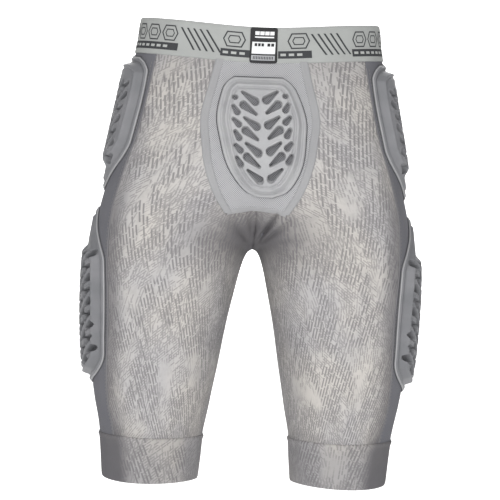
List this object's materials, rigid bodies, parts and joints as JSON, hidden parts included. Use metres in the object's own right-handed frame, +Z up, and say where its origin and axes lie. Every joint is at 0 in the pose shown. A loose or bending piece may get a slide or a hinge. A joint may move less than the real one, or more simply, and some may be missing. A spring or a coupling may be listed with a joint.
{
  "type": "padded impact shorts",
  "caption": "Close-fitting stretch shorts with an elastic waistband and moulded lattice pads over the tailbone, hips and thighs.",
  "frame": {"origin": "middle of the waist opening, level with the top edge of the waistband at the back", "axes": "+X to the wearer's right, +Y to the wearer's front, +Z up; the back of the shorts faces -Y"},
  "size_m": [0.4306, 0.2525, 0.5722],
  "materials": {
    "waist_elastic": "woven elastic",
    "label_patch": "bonded transfer",
    "side_fabric": "plain stretch knit",
    "cuff_fabric": "stretch knit",
    "pad_foam": "moulded closed-cell foam, semi-matte",
    "backing_mesh": "dotted mesh",
    "mesh_fabric": "ribbed mesh",
    "binding_tape": "plain tape",
    "printed_fabric": "stretch knit with a printed hatch"
  },
  "bodies": {
    "pelvis": {"crotch_gusset": "side_fabric", "front_panel_left": "printed_fabric", "front_panel_right": "printed_fabric", "hip_crease_back_left": "printed_fabric", "hip_crease_back_right": "printed_fabric", "hip_crease_front_left": "printed_fabric", "hip_crease_front_right": "printed_fabric", "hip_crease_side_left": "side_fabric", "hip_crease_side_right": "side_fabric", "hip_pad_backing_left": "backing_mesh", "hip_pad_backing_right": "backing_mesh", "hip_pad_shell_left": "pad_foam", "hip_pad_shell_right": "pad_foam", "hip_side_panel_left": "side_fabric", "hip_side_panel_right": "side_fabric", "seat_binding_left": "binding_tape", "seat_binding_right": "binding_tape", "seat_panel_left": "printed_fabric", "seat_panel_right": "printed_fabric", "tailbone_mesh_panel": "mesh_fabric", "tailbone_pad_backing": "backing_mesh", "tailbone_pad_shell": "pad_foam", "waistband": "waist_elastic", "waistband_label": "label_patch"},
    "right_leg": {"cuff_right": "cuff_fabric", "thigh_back_panel_right": "printed_fabric", "thigh_front_panel_right": "printed_fabric", "thigh_pad_backing_right": "backing_mesh", "thigh_pad_shell_right": "pad_foam", "thigh_side_panel_right": "side_fabric"},
    "left_leg": {"cuff_left": "cuff_fabric", "thigh_back_panel_left": "printed_fabric", "thigh_front_panel_left": "printed_fabric", "thigh_pad_backing_left": "backing_mesh", "thigh_pad_shell_left": "pad_foam", "thigh_side_panel_left": "side_fabric"}
  },
  "joints": [
    {"name": "right_hip_flex", "type": "hinge", "parent": "pelvis", "child": "right_leg", "pos_m": [0.09, 0, -0.201], "axis": [1, 0, 0], "range_deg": [-15, 60], "deforming": ["hip_crease_back_right", "hip_crease_front_right", "hip_crease_side_right"]},
    {"name": "left_hip_flex", "type": "hinge", "parent": "pelvis", "child": "left_leg", "pos_m": [-0.09, 0, -0.201], "axis": [1, 0, 0], "range_deg": [-15, 60], "deforming": ["hip_crease_back_left", "hip_crease_front_left", "hip_crease_side_left"]}
  ]
}
